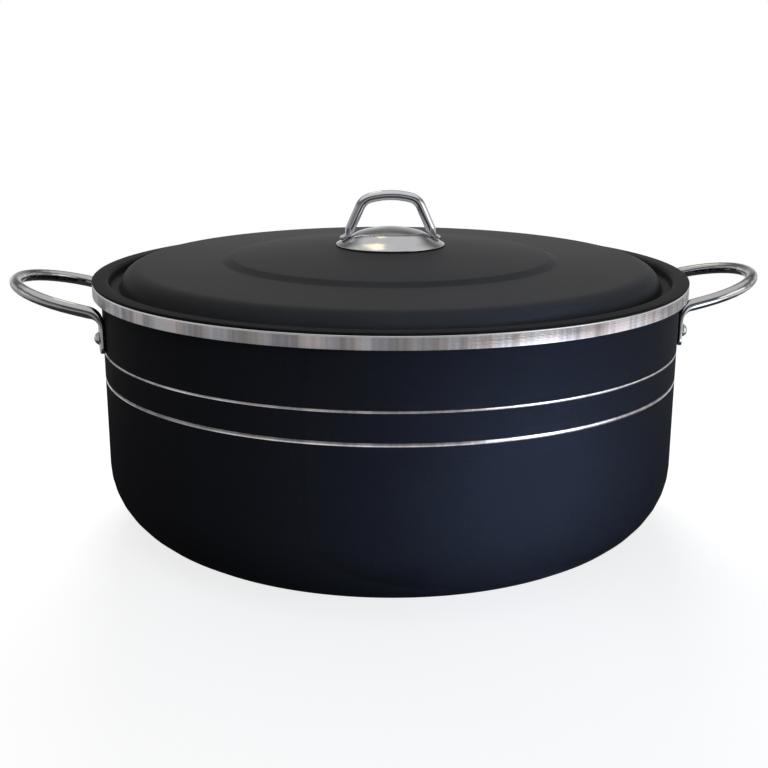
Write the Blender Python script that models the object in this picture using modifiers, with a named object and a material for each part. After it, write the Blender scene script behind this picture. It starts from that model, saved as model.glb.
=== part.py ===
"""A large cooking pot with two riveted rod handles and a loose lid, built piece by piece.

Metres, +Z up. The origin is the centre of the base, on the surface that the pot stands on.
The side handles lie along X, and the front is at -Y. The lid lifts straight up off the rim.
"""

import math

import bmesh
import bpy
from mathutils import Matrix, Vector

# Gaps that touching pieces keep, and the overrun of every cutter
SEAT_GAP = 0.0003
HOLE_GAP = 0.0003
CUT_OVERRUN = 0.002

# Pot body: turned wall and base, with a machined collar at the rim
RIM_RADIUS = 0.2000
POT_HEIGHT = 0.1700
RIM_BAND_HEIGHT = 0.0083
RIM_OVERHANG = 0.0055
RIM_EDGE_RADIUS = 0.0008
RIM_UNDER_FILLET = 0.0015
WALL = 0.0030
BASE_THICKNESS = 0.0040
CORNER_RADIUS = 0.0470
STRIPE_DROPS = (0.0438, 0.0625)
STRIPE_WIDTHS = (0.0014, 0.0020)
STRIPE_DEPTH = 0.0004
BASE_RING_SHARES = (0.50, 0.90)
BASE_RING_WIDTH = 0.0040
BASE_RING_DEPTH = 0.0008
GROOVE_FLOOR_SHARE = 0.5

# Lid: one pressed sheet with a flange, a trough inside the rim, a dome, a step and a crown
LID_SHEET = 0.0012
LID_PLAY = 0.0010
TROUGH_DEPTH = 0.0070
TROUGH_WIDTH = 0.0055
TROUGH_DRAFT = 0.0010
TROUGH_FILLET = 0.0022
FLANGE_FILLET = 0.0028
DOME_WALL_RUN = 0.0050
DOME_WALL_RISE = 0.0137
DOME_SHOULDER_FILLET = 0.0140
ANNULUS_RISE = 0.0014
STEP_RADIUS = 0.1110
STEP_RUN = 0.0060
STEP_RISE = 0.0028
STEP_FILLET = 0.0050
CROWN_RISE = 0.0068

# Domed knob base on the lid, and the screw that holds it down
KNOB_RADIUS = 0.0370
KNOB_HEIGHT = 0.0103
KNOB_EDGE_HEIGHT = 0.0010
KNOB_SHEET = 0.0012
SCREW_RADIUS = 0.0030
SCREW_HEAD_RADIUS = 0.0056
SCREW_HEAD_HEIGHT = 0.0034
SCREW_HEAD_FILLET = 0.0016
WASHER_RADIUS = 0.0085
WASHER_THICKNESS = 0.0012
NUT_ACROSS_FLATS = 0.0100
NUT_HEIGHT = 0.0050

# Lid handle: a bent rod whose flattened feet lie on the knob base
LID_ROD_DIAMETER = 0.0070
LID_HANDLE_RISE = 0.0268
LID_FOOT_SPREAD = 0.0624
LID_LEG_LEAN = math.radians(24.0)
LID_HANDLE_CORNER = 0.0110
LID_BAR_SLOPE = math.radians(12)
LID_BAR_ARCH_RADIUS = 0.0450
LID_BAR_FLAT = 0.0020
FOOT_LENGTH = 0.0050
FOOT_BEND = 0.0050
FOOT_WIDTH = 0.0090
FOOT_THICKNESS = 0.0026
FOOT_END_RADIUS = 0.0020
FOOT_MORPH = 0.0080

# Side handles: bent rods, flattened into tabs that are riveted to the wall
ROD_DIAMETER = 0.0082
HANDLE_SPREAD = 0.0950
HANDLE_REACH = 0.0515
HANDLE_CORNER = 0.0462
HANDLE_TIP_DROP = 0.0023
HANDLE_ROOT_DROP = 0.0182
HANDLE_BEND = 0.0090
TAB_END_DROP = 0.0430
TAB_WIDTH = 0.0140
TAB_THICKNESS = 0.0030
TAB_END_RADIUS = 0.0045
TAB_MORPH = 0.0150
RIVET_DROP = 0.0332
RIVET_SHANK_RADIUS = 0.0024
RIVET_HEAD_RADIUS = 0.0042
RIVET_HEAD_HEIGHT = 0.0030
RIVET_SHOP_RADIUS = 0.0045
RIVET_SHOP_HEIGHT = 0.0018
RIVET_SHOP_FILLET = 0.0008

# Facets and rounding: counts, shares and powers, none of them a length
POT_STEPS = 56
KNOB_STEPS = 28
SMALL_STEPS = 12
ROD_SIDES = 12
FINE_ARC_STEPS = 24
FLAT_POWER = 5.0
ROUND_POWER = 2.0
END_SHARES = (0.0, 0.12, 0.45, 1.0)
SHARP_ANGLE = math.radians(35)

# Sizes worked out from those above
WALL_RADIUS = RIM_RADIUS - RIM_OVERHANG
INNER_RADIUS = WALL_RADIUS - WALL
INNER_FLAT_RADIUS = INNER_RADIUS * math.cos(math.pi / POT_STEPS)
SCREW_HOLE_RADIUS = SCREW_RADIUS + HOLE_GAP
FLANGE_TOP = POT_HEIGHT + SEAT_GAP + LID_SHEET
TROUGH_RADIUS = INNER_RADIUS - LID_PLAY - LID_SHEET
TROUGH_FLOOR = FLANGE_TOP - TROUGH_DEPTH
DOME_ROOT_RADIUS = TROUGH_RADIUS - TROUGH_DRAFT - TROUGH_WIDTH
DOME_SHOULDER = TROUGH_FLOOR + DOME_WALL_RISE
ANNULUS_TOP = DOME_SHOULDER + ANNULUS_RISE
CROWN_EDGE_RADIUS = STEP_RADIUS - STEP_RUN / 2
CROWN_TOP = ANNULUS_TOP + STEP_RISE + CROWN_RISE


def ball_radius(edge_radius, rise):
    """Radius of the ball that a round cap of this edge radius and rise is cut from."""
    return (edge_radius**2 + rise**2) / (2 * rise)


def cap_drop(radius, edge_radius, rise):
    """How far such a cap falls below its top at a radius."""
    ball = ball_radius(edge_radius, rise)
    return ball - math.sqrt(ball**2 - radius**2)


def crown_height(radius):
    """Height of the lid's upper face inside the step."""
    return CROWN_TOP - cap_drop(radius, CROWN_EDGE_RADIUS, CROWN_RISE)


KNOB_SEAT = crown_height(KNOB_RADIUS - KNOB_SHEET) + SEAT_GAP
KNOB_TOP = KNOB_SEAT + KNOB_HEIGHT


def knob_height(radius):
    """Height of the knob base's outer face."""
    return KNOB_TOP - cap_drop(radius, KNOB_RADIUS, KNOB_HEIGHT - KNOB_EDGE_HEIGHT)


def rounded_path(corners):
    """Points through corners, each (point, radius, steps), where a radius makes an arc of that many steps."""
    points = []
    for index, (corner, radius, steps) in enumerate(corners):
        corner = Vector(corner)
        if not radius:
            points.append(corner)
            continue
        before = (Vector(corners[index - 1][0]) - corner).normalized()
        after = (Vector(corners[index + 1][0]) - corner).normalized()
        turn = math.pi - before.angle(after)
        centre = corner + (before + after).normalized() * radius / math.cos(turn / 2)
        start = corner + before * radius * math.tan(turn / 2) - centre
        end = corner + after * radius * math.tan(turn / 2) - centre
        for step in range(steps + 1):
            share = step / steps
            weights = math.sin((1 - share) * turn), math.sin(share * turn)
            points.append(centre + (start * weights[0] + end * weights[1]) / math.sin(turn))
    return points


def groove(middle, along, inward, width, depth):
    """Four sharp corners of a groove with sloping sides, cut inward across a path that runs along."""
    middle, along, inward = Vector(middle), Vector(along), Vector(inward)
    half = along * width / 2
    floor_half = half * GROOVE_FLOOR_SHARE
    places = (
        middle - half,
        middle - floor_half + inward * depth,
        middle + floor_half + inward * depth,
        middle + half,
    )
    return [(place, 0, 0) for place in places]


def link(obj, collection_name):
    collection = bpy.data.collections.get(collection_name)
    if collection is None:
        collection = bpy.data.collections.new(collection_name)
        bpy.context.scene.collection.children.link(collection)
    collection.objects.link(obj)
    return obj


def new_part(name, mesh, material):
    mesh.shade_smooth()
    mesh.set_sharp_from_angle(angle=SHARP_ANGLE)
    if not mesh.materials:
        mesh.materials.append(material)
    return link(bpy.data.objects.new(name, mesh), "cooking_pot")


def turned(name, outline, steps, material):
    """A piece turned round Z from an outline of (radius, height) points that runs down its outer side."""
    mesh = bpy.data.meshes.new(name)
    points = [(radius, 0, height) for radius, height in outline]
    edges = [(index, index + 1) for index in range(len(points) - 1)]
    mesh.from_pydata(points, edges, [])
    obj = new_part(name, mesh, material)
    screw = obj.modifiers.new("turn", "SCREW")
    screw.axis = "Z"
    screw.steps = steps
    screw.render_steps = steps
    screw.use_merge_vertices = True
    screw.merge_threshold = SEAT_GAP / 10
    screw.use_smooth_shade = True
    return obj


def thicken(obj, thickness):
    """Gives a turned sheet its thickness, on the side away from its faces."""
    solidify = obj.modifiers.new("sheet", "SOLIDIFY")
    solidify.thickness = thickness
    solidify.offset = -1
    solidify.use_even_offset = True


def cut(obj, cutter):
    boolean = obj.modifiers.new(cutter.name, "BOOLEAN")
    boolean.operation = "DIFFERENCE"
    boolean.solver = "EXACT"
    boolean.object = cutter


def cylinder_cutter(name, radius, bottom, top):
    """A hidden round cutter along Z, from bottom to top."""
    mesh = bpy.data.meshes.new(name)
    shape = bmesh.new()
    middle = Matrix.Translation((0, 0, (bottom + top) / 2))
    bmesh.ops.create_cone(
        shape,
        cap_ends=True,
        segments=SMALL_STEPS,
        radius1=radius,
        radius2=radius,
        depth=top - bottom,
        matrix=middle,
    )
    shape.to_mesh(mesh)
    shape.free()
    obj = link(bpy.data.objects.new(name, mesh), "cutters")
    obj.hide_render = True
    obj.display_type = "WIRE"
    return obj


def finish(name, colour, metallic, roughness):
    material = bpy.data.materials.new(name)
    material.use_nodes = True
    shader = material.node_tree.nodes["Principled BSDF"]
    shader.inputs["Base Color"].default_value = (*colour, 1)
    shader.inputs["Metallic"].default_value = metallic
    shader.inputs["Roughness"].default_value = roughness
    return material


def pot_outline():
    """Inside of the base, up the inner wall, over the collar, down the outer wall and under the base."""
    band_bottom = POT_HEIGHT - RIM_BAND_HEIGHT
    corners = [
        ((0, BASE_THICKNESS), 0, 0),
        ((INNER_RADIUS, BASE_THICKNESS), CORNER_RADIUS - WALL, 6),
        ((INNER_RADIUS, POT_HEIGHT), RIM_EDGE_RADIUS, 1),
        ((RIM_RADIUS, POT_HEIGHT), RIM_EDGE_RADIUS, 1),
        ((RIM_RADIUS, band_bottom), 0, 0),
        ((WALL_RADIUS, band_bottom), RIM_UNDER_FILLET, 1),
    ]
    for drop, width in zip(STRIPE_DROPS, STRIPE_WIDTHS):
        corners += groove((WALL_RADIUS, POT_HEIGHT - drop), (0, -1), (-1, 0), width, STRIPE_DEPTH)
    corners.append(((WALL_RADIUS, 0), CORNER_RADIUS, 7))
    flat_radius = WALL_RADIUS - CORNER_RADIUS
    for share in sorted(BASE_RING_SHARES, reverse=True):
        corners += groove((flat_radius * share, 0), (-1, 0), (0, 1), BASE_RING_WIDTH, BASE_RING_DEPTH)
    corners.append(((0, 0), 0, 0))
    return rounded_path(corners)


def lid_outline():
    """The lid's upper face, from the screw hole over crown, step, dome and trough to the flange's edge."""
    crown_shares = (0.35, 0.75)
    crown_radii = [SCREW_HOLE_RADIUS] + [CROWN_EDGE_RADIUS * share for share in crown_shares]
    corners = [((radius, crown_height(radius)), 0, 0) for radius in crown_radii]
    corners += [
        ((CROWN_EDGE_RADIUS, crown_height(CROWN_EDGE_RADIUS)), STEP_FILLET, 2),
        ((STEP_RADIUS + STEP_RUN / 2, ANNULUS_TOP), STEP_FILLET, 2),
        ((DOME_ROOT_RADIUS - DOME_WALL_RUN, DOME_SHOULDER), DOME_SHOULDER_FILLET, 4),
        ((DOME_ROOT_RADIUS, TROUGH_FLOOR), TROUGH_FILLET, 2),
        ((TROUGH_RADIUS - TROUGH_DRAFT, TROUGH_FLOOR), TROUGH_FILLET, 2),
        ((TROUGH_RADIUS, FLANGE_TOP), FLANGE_FILLET, 3),
        ((RIM_RADIUS, FLANGE_TOP), 0, 0),
    ]
    return rounded_path(corners)


def knob_outline():
    """The knob base's upper face, from its top to its edge."""
    shares = (0, 0.2, 0.4, 0.6, 0.8, 0.92, 1)
    outline = [(KNOB_RADIUS * share, knob_height(KNOB_RADIUS * share)) for share in shares]
    return outline + [(KNOB_RADIUS, KNOB_SEAT)]


def along_path(path, distance):
    """The point and direction this far along a fine path."""
    for start, end in zip(path, path[1:]):
        length = (end - start).length
        if distance <= length or end is path[-1]:
            break
        distance -= length
    return start.lerp(end, min(distance / length, 1)), (end - start).normalized()


def path_length(path):
    return sum((end - start).length for start, end in zip(path, path[1:]))


def flattened_section(distance, rod_radius, flat):
    """Half width, half thickness and power of a rod's section this far from its flattened end."""
    width, thickness, end_radius, flat_length, morph = flat
    share = max(0, min(1, (flat_length + morph - distance) / morph))
    flatness = share * share * (3 - 2 * share)
    half_width = rod_radius + (width / 2 - rod_radius) * flatness
    half_thickness = rod_radius + (thickness / 2 - rod_radius) * flatness
    rounding = max(0, 1 - distance / end_radius)
    half_width -= end_radius * (1 - math.sqrt(1 - rounding**2))
    return half_width, half_thickness, ROUND_POWER + (FLAT_POWER - ROUND_POWER) * flatness


def flattened_rod(name, path, stations, rod_radius, flat, width_axis, material):
    """Half a bent rod, lofted from its capped flat end to an open ring in the mirror plane."""
    mesh = bpy.data.meshes.new(name)
    shape = bmesh.new()
    across = Vector(width_axis)
    rings = []
    for distance in stations:
        centre, direction = along_path(path, distance)
        across = (across - direction * across.dot(direction)).normalized()
        upward = direction.cross(across)
        half_width, half_thickness, power = flattened_section(distance, rod_radius, flat)
        ring = []
        for side in range(ROD_SIDES):
            angle = 2 * math.pi * (side + 0.5) / ROD_SIDES
            cosine, sine = math.cos(angle), math.sin(angle)
            wide = math.copysign(abs(cosine) ** (2 / power), cosine) * half_width
            thick = math.copysign(abs(sine) ** (2 / power), sine) * half_thickness
            ring.append(shape.verts.new(centre + across * wide + upward * thick))
        rings.append(ring)
    for ring, following in zip(rings, rings[1:]):
        for side in range(ROD_SIDES):
            after = (side + 1) % ROD_SIDES
            shape.faces.new((ring[side], ring[after], following[after], following[side]))
    shape.faces.new(rings[0][::-1])
    bmesh.ops.recalc_face_normals(shape, faces=shape.faces)
    shape.to_mesh(mesh)
    shape.free()
    return new_part(name, mesh, material)


def mirror_across(obj, axis):
    mirror = obj.modifiers.new("other half", "MIRROR")
    mirror.use_axis = [letter == axis for letter in "XYZ"]
    mirror.use_mirror_merge = True
    mirror.merge_threshold = SEAT_GAP / 10


def evenly(start, end, count):
    """Distances from start to end, in count equal steps, with start left out."""
    return [start + (end - start) * (step + 1) / count for step in range(count)]


def tab_place():
    """Where a tab's middle plane meets its leg, at the +Y leg: X, Y and the wall's angle round Z."""
    radius = WALL_RADIUS + SEAT_GAP + TAB_THICKNESS / 2
    half_spread = HANDLE_SPREAD / 2
    angle = math.asin(half_spread / radius)
    return radius * math.cos(angle), half_spread, angle


def side_handle(name, turn, material):
    """A rod handle at +X, turned round Z by turn. Both handles share one mesh."""
    tab_x, leg_y, wall_angle = tab_place()
    tip_x = RIM_RADIUS + HANDLE_REACH
    tip_z = POT_HEIGHT - HANDLE_TIP_DROP
    path = rounded_path(
        [
            ((tab_x, leg_y, POT_HEIGHT - TAB_END_DROP), 0, 0),
            ((tab_x, leg_y, POT_HEIGHT - HANDLE_ROOT_DROP), HANDLE_BEND, FINE_ARC_STEPS),
            ((tip_x, leg_y, tip_z), HANDLE_CORNER, FINE_ARC_STEPS),
            ((tip_x, 0, tip_z), 0, 0),
        ]
    )
    total = path_length(path)
    flat_length = TAB_END_DROP - HANDLE_ROOT_DROP - HANDLE_BEND
    corner_end = total - (leg_y - HANDLE_CORNER)
    corner_start = corner_end - HANDLE_CORNER * math.pi / 2
    stations = [TAB_END_RADIUS * share for share in END_SHARES]
    stations += [flat_length]
    stations += evenly(flat_length, flat_length + TAB_MORPH, 7)
    stations += [corner_start]
    stations += evenly(corner_start, corner_end, 8)
    stations += [total]
    flat = (TAB_WIDTH, TAB_THICKNESS, TAB_END_RADIUS, flat_length, TAB_MORPH)
    wall_tangent = (-math.sin(wall_angle), math.cos(wall_angle), 0)
    obj = flattened_rod(name, path, stations, ROD_DIAMETER / 2, flat, wall_tangent, material)
    mirror_across(obj, "Y")
    obj.rotation_euler.z = turn
    return obj


def lid_handle(material):
    """The bent rod on the knob base, with its feet spread along X."""
    foot_radius = LID_FOOT_SPREAD / 2
    foot_slope = math.asin(foot_radius / ball_radius(KNOB_RADIUS, KNOB_HEIGHT - KNOB_EDGE_HEIGHT))
    outward = Vector((math.cos(foot_slope), 0, -math.sin(foot_slope)))
    lifted = Vector((math.sin(foot_slope), 0, math.cos(foot_slope)))
    foot_middle = Vector((foot_radius, 0, knob_height(foot_radius)))
    foot_middle += lifted * (SEAT_GAP + FOOT_THICKNESS / 2)
    foot_end = foot_middle + outward * FOOT_LENGTH / 2
    heel = foot_middle - outward * FOOT_LENGTH / 2
    top = KNOB_TOP + LID_HANDLE_RISE - LID_ROD_DIAMETER / 2

    # The bar slopes up from both corners and is arched over its middle
    slope, lean = math.tan(LID_BAR_SLOPE), math.tan(LID_LEG_LEAN)
    arch_reach = LID_BAR_ARCH_RADIUS * math.tan(LID_BAR_SLOPE / 2)
    arch_x = LID_BAR_FLAT / 2 + arch_reach
    corner_x = (heel.x - (top + arch_x * slope - heel.z) * lean) / (1 - slope * lean)
    corner_z = top - (corner_x - arch_x) * slope
    path = rounded_path(
        [
            (foot_end, 0, 0),
            (heel, FOOT_BEND, FINE_ARC_STEPS),
            ((corner_x, 0, corner_z), LID_HANDLE_CORNER, FINE_ARC_STEPS),
            ((arch_x, 0, top), LID_BAR_ARCH_RADIUS, FINE_ARC_STEPS),
            ((0, 0, top), 0, 0),
        ]
    )
    total = path_length(path)
    corner_turn = math.pi / 2 - LID_LEG_LEAN - LID_BAR_SLOPE
    corner_reach = LID_HANDLE_CORNER * math.tan(corner_turn / 2)
    arch_end = total - LID_BAR_FLAT / 2
    arch_start = arch_end - LID_BAR_ARCH_RADIUS * LID_BAR_SLOPE
    corner_end = arch_start - ((corner_x - arch_x) / math.cos(LID_BAR_SLOPE) - corner_reach - arch_reach)
    corner_start = corner_end - LID_HANDLE_CORNER * corner_turn
    stations = [FOOT_END_RADIUS * share for share in END_SHARES]
    stations += evenly(FOOT_END_RADIUS, FOOT_LENGTH / 2 + FOOT_MORPH, 6)
    stations += [corner_start]
    stations += evenly(corner_start, corner_end, 5)
    stations += [arch_start]
    stations += evenly(arch_start, arch_end, 2)
    stations += [total]
    flat = (FOOT_WIDTH, FOOT_THICKNESS, FOOT_END_RADIUS, FOOT_LENGTH / 2, FOOT_MORPH)
    obj = flattened_rod("lid_handle", path, stations, LID_ROD_DIAMETER / 2, flat, (0, 1, 0), material)
    mirror_across(obj, "X")
    return obj


def rivet_outline():
    """A rivet along Z, with 0 at the wall's outer face, the domed head outside and the shop head inside."""
    head_seat = SEAT_GAP + TAB_THICKNESS + SEAT_GAP
    shop_seat = INNER_FLAT_RADIUS - SEAT_GAP - WALL_RADIUS
    head_shares = (0, 0.45, 0.8, 1)
    outline = []
    for share in head_shares:
        radius = RIVET_HEAD_RADIUS * share
        drop = cap_drop(radius, RIVET_HEAD_RADIUS, RIVET_HEAD_HEIGHT)
        outline.append((radius, head_seat + RIVET_HEAD_HEIGHT - drop))
    shank = [
        ((RIVET_SHANK_RADIUS, head_seat), 0, 0),
        ((RIVET_SHANK_RADIUS, shop_seat), 0, 0),
        ((RIVET_SHOP_RADIUS, shop_seat), 0, 0),
        ((RIVET_SHOP_RADIUS, shop_seat - RIVET_SHOP_HEIGHT), RIVET_SHOP_FILLET, 1),
        ((0, shop_seat - RIVET_SHOP_HEIGHT), 0, 0),
    ]
    return outline + rounded_path(shank)


def radial_place(angle):
    """Puts a piece modelled along Z on the wall's outer face at this angle, pointing out."""
    place = Vector((WALL_RADIUS * math.cos(angle), WALL_RADIUS * math.sin(angle), POT_HEIGHT - RIVET_DROP))
    return Matrix.Translation(place) @ Matrix.Rotation(angle, 4, "Z") @ Matrix.Rotation(math.pi / 2, 4, "Y")


def rivet_and_holes(side, end, angle, pot, handle, material):
    """One rivet through a tab and the wall, with its hole in both."""
    name = f"rivet_{side}_{end}"
    rivet = turned(name, rivet_outline(), SMALL_STEPS, material)
    reach = WALL + TAB_THICKNESS + CUT_OVERRUN
    cutter = cylinder_cutter(f"cut_{name}", RIVET_SHANK_RADIUS + HOLE_GAP, -reach, reach)
    for obj in (rivet, cutter):
        obj.matrix_world = radial_place(angle)
    for obj in (pot, handle):
        cut(obj, cutter)


def lid_fastener(material):
    """The screw from below, its washer under the lid, and the nut under the knob base."""
    lid_underside = crown_height(WASHER_RADIUS) - LID_SHEET
    washer_top = lid_underside - SEAT_GAP
    washer_bottom = washer_top - WASHER_THICKNESS
    head_top = washer_bottom - SEAT_GAP
    head_bottom = head_top - SCREW_HEAD_HEIGHT
    nut_corner_radius = NUT_ACROSS_FLATS / 2 / math.cos(math.pi / 6)
    nut_top = knob_height(nut_corner_radius) - KNOB_SHEET - SEAT_GAP

    screw = [
        ((0, nut_top), 0, 0),
        ((SCREW_RADIUS, nut_top), 0, 0),
        ((SCREW_RADIUS, head_top), 0, 0),
        ((SCREW_HEAD_RADIUS, head_top), 0, 0),
        ((SCREW_HEAD_RADIUS, head_bottom), SCREW_HEAD_FILLET, 2),
        ((0, head_bottom), 0, 0),
    ]
    turned("lid_screw", rounded_path(screw), SMALL_STEPS, material)

    washer = [
        (SCREW_HOLE_RADIUS, washer_top),
        (WASHER_RADIUS, washer_top),
        (WASHER_RADIUS, washer_bottom),
        (SCREW_HOLE_RADIUS, washer_bottom),
        (SCREW_HOLE_RADIUS, washer_top),
    ]
    turned("lid_washer", washer, SMALL_STEPS, material)

    mesh = bpy.data.meshes.new("lid_nut")
    shape = bmesh.new()
    bmesh.ops.create_cone(
        shape,
        cap_ends=True,
        segments=6,
        radius1=nut_corner_radius,
        radius2=nut_corner_radius,
        depth=NUT_HEIGHT,
        matrix=Matrix.Translation((0, 0, nut_top - NUT_HEIGHT / 2)),
    )
    shape.to_mesh(mesh)
    shape.free()
    nut = new_part("lid_nut", mesh, material)
    bore = cylinder_cutter(
        "cut_lid_nut", SCREW_HOLE_RADIUS, nut_top - NUT_HEIGHT - CUT_OVERRUN, nut_top + CUT_OVERRUN
    )
    cut(nut, bore)


def main():
    for obj in list(bpy.data.objects):
        bpy.data.objects.remove(obj, do_unlink=True)

    coating = finish("black_stone_coating", (0.018, 0.018, 0.021), 0.0, 0.45)
    chrome = finish("chromed_steel", (0.62, 0.62, 0.64), 1.0, 0.12)
    aluminium = finish("bare_aluminium", (0.70, 0.70, 0.71), 1.0, 0.30)

    pot = turned("pot_body", pot_outline(), POT_STEPS, coating)
    lid = turned("lid_shell", lid_outline(), POT_STEPS, coating)
    thicken(lid, LID_SHEET)
    knob = turned("lid_knob_base", knob_outline(), KNOB_STEPS, chrome)
    thicken(knob, KNOB_SHEET)
    lid_handle(chrome)
    lid_fastener(chrome)

    wall_angle = tab_place()[2]
    for side, turn in (("right", 0), ("left", math.pi)):
        handle = side_handle(f"side_handle_{side}", turn, chrome)
        for end, sign in (("front", -1), ("back", 1)):
            mirrored = sign if side == "right" else -sign
            rivet_and_holes(side, end, turn + mirrored * wall_angle, pot, handle, aluminium)


main()
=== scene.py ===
"""The looks of a large cooking pot with a loose lid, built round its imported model.

Metres, +Z up, front at -Y, side handles along X. Each piece sits at the origin with its place in its mesh.
"""

import math

import bpy
from mathutils import Matrix, Vector


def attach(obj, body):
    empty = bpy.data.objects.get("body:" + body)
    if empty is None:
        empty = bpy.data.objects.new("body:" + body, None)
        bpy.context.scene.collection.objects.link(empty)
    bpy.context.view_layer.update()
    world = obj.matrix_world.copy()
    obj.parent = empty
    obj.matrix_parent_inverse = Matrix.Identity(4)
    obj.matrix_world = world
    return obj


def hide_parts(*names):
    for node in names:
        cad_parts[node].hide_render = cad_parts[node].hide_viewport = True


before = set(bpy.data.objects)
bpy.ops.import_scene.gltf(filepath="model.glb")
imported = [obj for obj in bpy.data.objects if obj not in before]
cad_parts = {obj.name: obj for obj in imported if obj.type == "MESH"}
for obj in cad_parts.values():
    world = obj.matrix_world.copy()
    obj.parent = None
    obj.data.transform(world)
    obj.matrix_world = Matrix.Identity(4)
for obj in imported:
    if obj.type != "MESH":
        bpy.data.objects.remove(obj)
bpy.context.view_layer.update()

# Gap that touching pieces keep
SEAT_GAP = 0.0003

# Pot: turned wall and base, with a machined collar at the rim
RIM_RADIUS = 0.2000
POT_HEIGHT = 0.1700
RIM_BAND_HEIGHT = 0.0083
RIM_OVERHANG = 0.0055
RIM_EDGE_RADIUS = 0.0008
RIM_LOWER_EDGE_RADIUS = 0.0003
RIM_UNDER_FILLET = 0.0015
WALL = 0.0030
BASE_THICKNESS = 0.0040
CORNER_RADIUS = 0.0470
STRIPE_DROPS = (0.0438, 0.0625)
STRIPE_WIDTHS = (0.0014, 0.0020)
STRIPE_DEPTH = 0.0004
BASE_RING_SHARES = (0.50, 0.90)
BASE_RING_WIDTH = 0.0040
BASE_RING_DEPTH = 0.0008
GROOVE_FLOOR_SHARE = 0.5

# Lid: one pressed sheet with a crown, a step, a dome, a trough and a flange
LID_SHEET = 0.0012
LID_PLAY = 0.0010
TROUGH_DEPTH = 0.0070
TROUGH_WIDTH = 0.0055
TROUGH_DRAFT = 0.0010
TROUGH_FILLET = 0.0022
FLANGE_FILLET = 0.0028
DOME_WALL_RUN = 0.0050
DOME_WALL_RISE = 0.0137
DOME_SHOULDER_FILLET = 0.0140
ANNULUS_RISE = 0.0014
STEP_RADIUS = 0.1110
STEP_RUN = 0.0060
STEP_RISE = 0.0028
STEP_FILLET = 0.0050
CROWN_RISE = 0.0068
CROWN_STEPS = 14

# Domed knob base, and the screw that comes up through the lid
KNOB_RADIUS = 0.0370
KNOB_HEIGHT = 0.0103
KNOB_EDGE_HEIGHT = 0.0010
KNOB_SHEET = 0.0012
KNOB_STEPS = 30
KNOB_FULLNESS = 0.0018
KNOB_FULL_RADIUS = 0.0210
KNOB_PLAIN_RADIUS = 0.0310
SCREW_RADIUS = 0.0030
SCREW_HOLE_RADIUS = 0.0033
SCREW_HEAD_RADIUS = 0.0056
SCREW_HEAD_HEIGHT = 0.0034
SCREW_HEAD_FILLET = 0.0016
SCREW_HEAD_EDGE_RADIUS = 0.0002
SCREW_END_FILLET = 0.0004
RECESS_WIDTH = 0.0011
RECESS_LENGTH = 0.0056
RECESS_DEPTH = 0.0018
WASHER_RADIUS = 0.0085
WASHER_THICKNESS = 0.0012
WASHER_EDGE_RADIUS = 0.0002
NUT_ACROSS_FLATS = 0.0100

# Lid handle: a bent rod whose flattened feet lie on the knob base
LID_ROD_DIAMETER = 0.0070
LID_HANDLE_RISE = 0.0268
LID_FOOT_SPREAD = 0.0624
LID_LEG_LEAN = math.radians(24.0)
LID_HANDLE_CORNER = 0.0110
LID_BAR_SLOPE = math.radians(12)
LID_BAR_ARCH_RADIUS = 0.0450
LID_BAR_FLAT = 0.0020
FOOT_LENGTH = 0.0050
FOOT_BEND = 0.0050
FOOT_WIDTH = 0.0090
FOOT_THICKNESS = 0.0026
FOOT_END_RADIUS = 0.0020
FOOT_MORPH = 0.0080

# Side handles: bent rods, flattened into tabs that are riveted to the wall
ROD_DIAMETER = 0.0082
HANDLE_SPREAD = 0.0950
HANDLE_REACH = 0.0515
HANDLE_CORNER = 0.0462
HANDLE_TIP_DROP = 0.0023
HANDLE_ROOT_DROP = 0.0182
HANDLE_BEND = 0.0090
TAB_END_DROP = 0.0430
TAB_WIDTH = 0.0140
TAB_THICKNESS = 0.0030
TAB_END_RADIUS = 0.0045
TAB_MORPH = 0.0150
TAB_EDGE_RADIUS = 0.0007
RIVET_DROP = 0.0332
RIVET_SHANK_RADIUS = 0.0024
RIVET_HEAD_RADIUS = 0.0042
RIVET_HEAD_HEIGHT = 0.0030
RIVET_HEAD_FILLET = 0.0006
RIVET_SHOP_RADIUS = 0.0045
RIVET_SHOP_HEIGHT = 0.0018
RIVET_SHOP_FILLET = 0.0008

# The drawing's rods have few sides; a round one of this share of their radius stays inside them
DRAWING_ROD_SIDES = 12
ROUND_ROD_SHARE = math.cos(math.pi / DRAWING_ROD_SIDES)

# Sizes worked out from those above
WALL_RADIUS = RIM_RADIUS - RIM_OVERHANG
INNER_RADIUS = WALL_RADIUS - WALL
FLANGE_TOP = POT_HEIGHT + SEAT_GAP + LID_SHEET
TROUGH_RADIUS = INNER_RADIUS - LID_PLAY - LID_SHEET
TROUGH_FLOOR = FLANGE_TOP - TROUGH_DEPTH
DOME_ROOT_RADIUS = TROUGH_RADIUS - TROUGH_DRAFT - TROUGH_WIDTH
DOME_SHOULDER = TROUGH_FLOOR + DOME_WALL_RISE
ANNULUS_TOP = DOME_SHOULDER + ANNULUS_RISE
CROWN_EDGE_RADIUS = STEP_RADIUS - STEP_RUN / 2
CROWN_TOP = ANNULUS_TOP + STEP_RISE + CROWN_RISE

# How finely the meshes follow the curves
FILLET_STEP = math.radians(9)
SHEET_EDGE_STEPS = 6
RIVET_HEAD_STEPS = 10
PATH_STEP = 0.001
POT_STEPS = 224
FITTING_STEPS = 96
RIVET_STEPS = 32
HANDLE_STEPS = 181
ROD_SIDES = 32
END_CROWDING = 1.5
SHARP_ANGLE = math.radians(32)
MERGE_DISTANCE = 0.000002

# How square a rod's section is: round, and forged flat
ROUND_POWER = 2.0
FLAT_POWER = 5.0

# Marks along an outline for the finish of its faces, and the share of a mark past which it counts
COATED = 0.0
BARE = 1.0
STRIPE = -1.0
MARK_SHARE = 0.75

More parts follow.
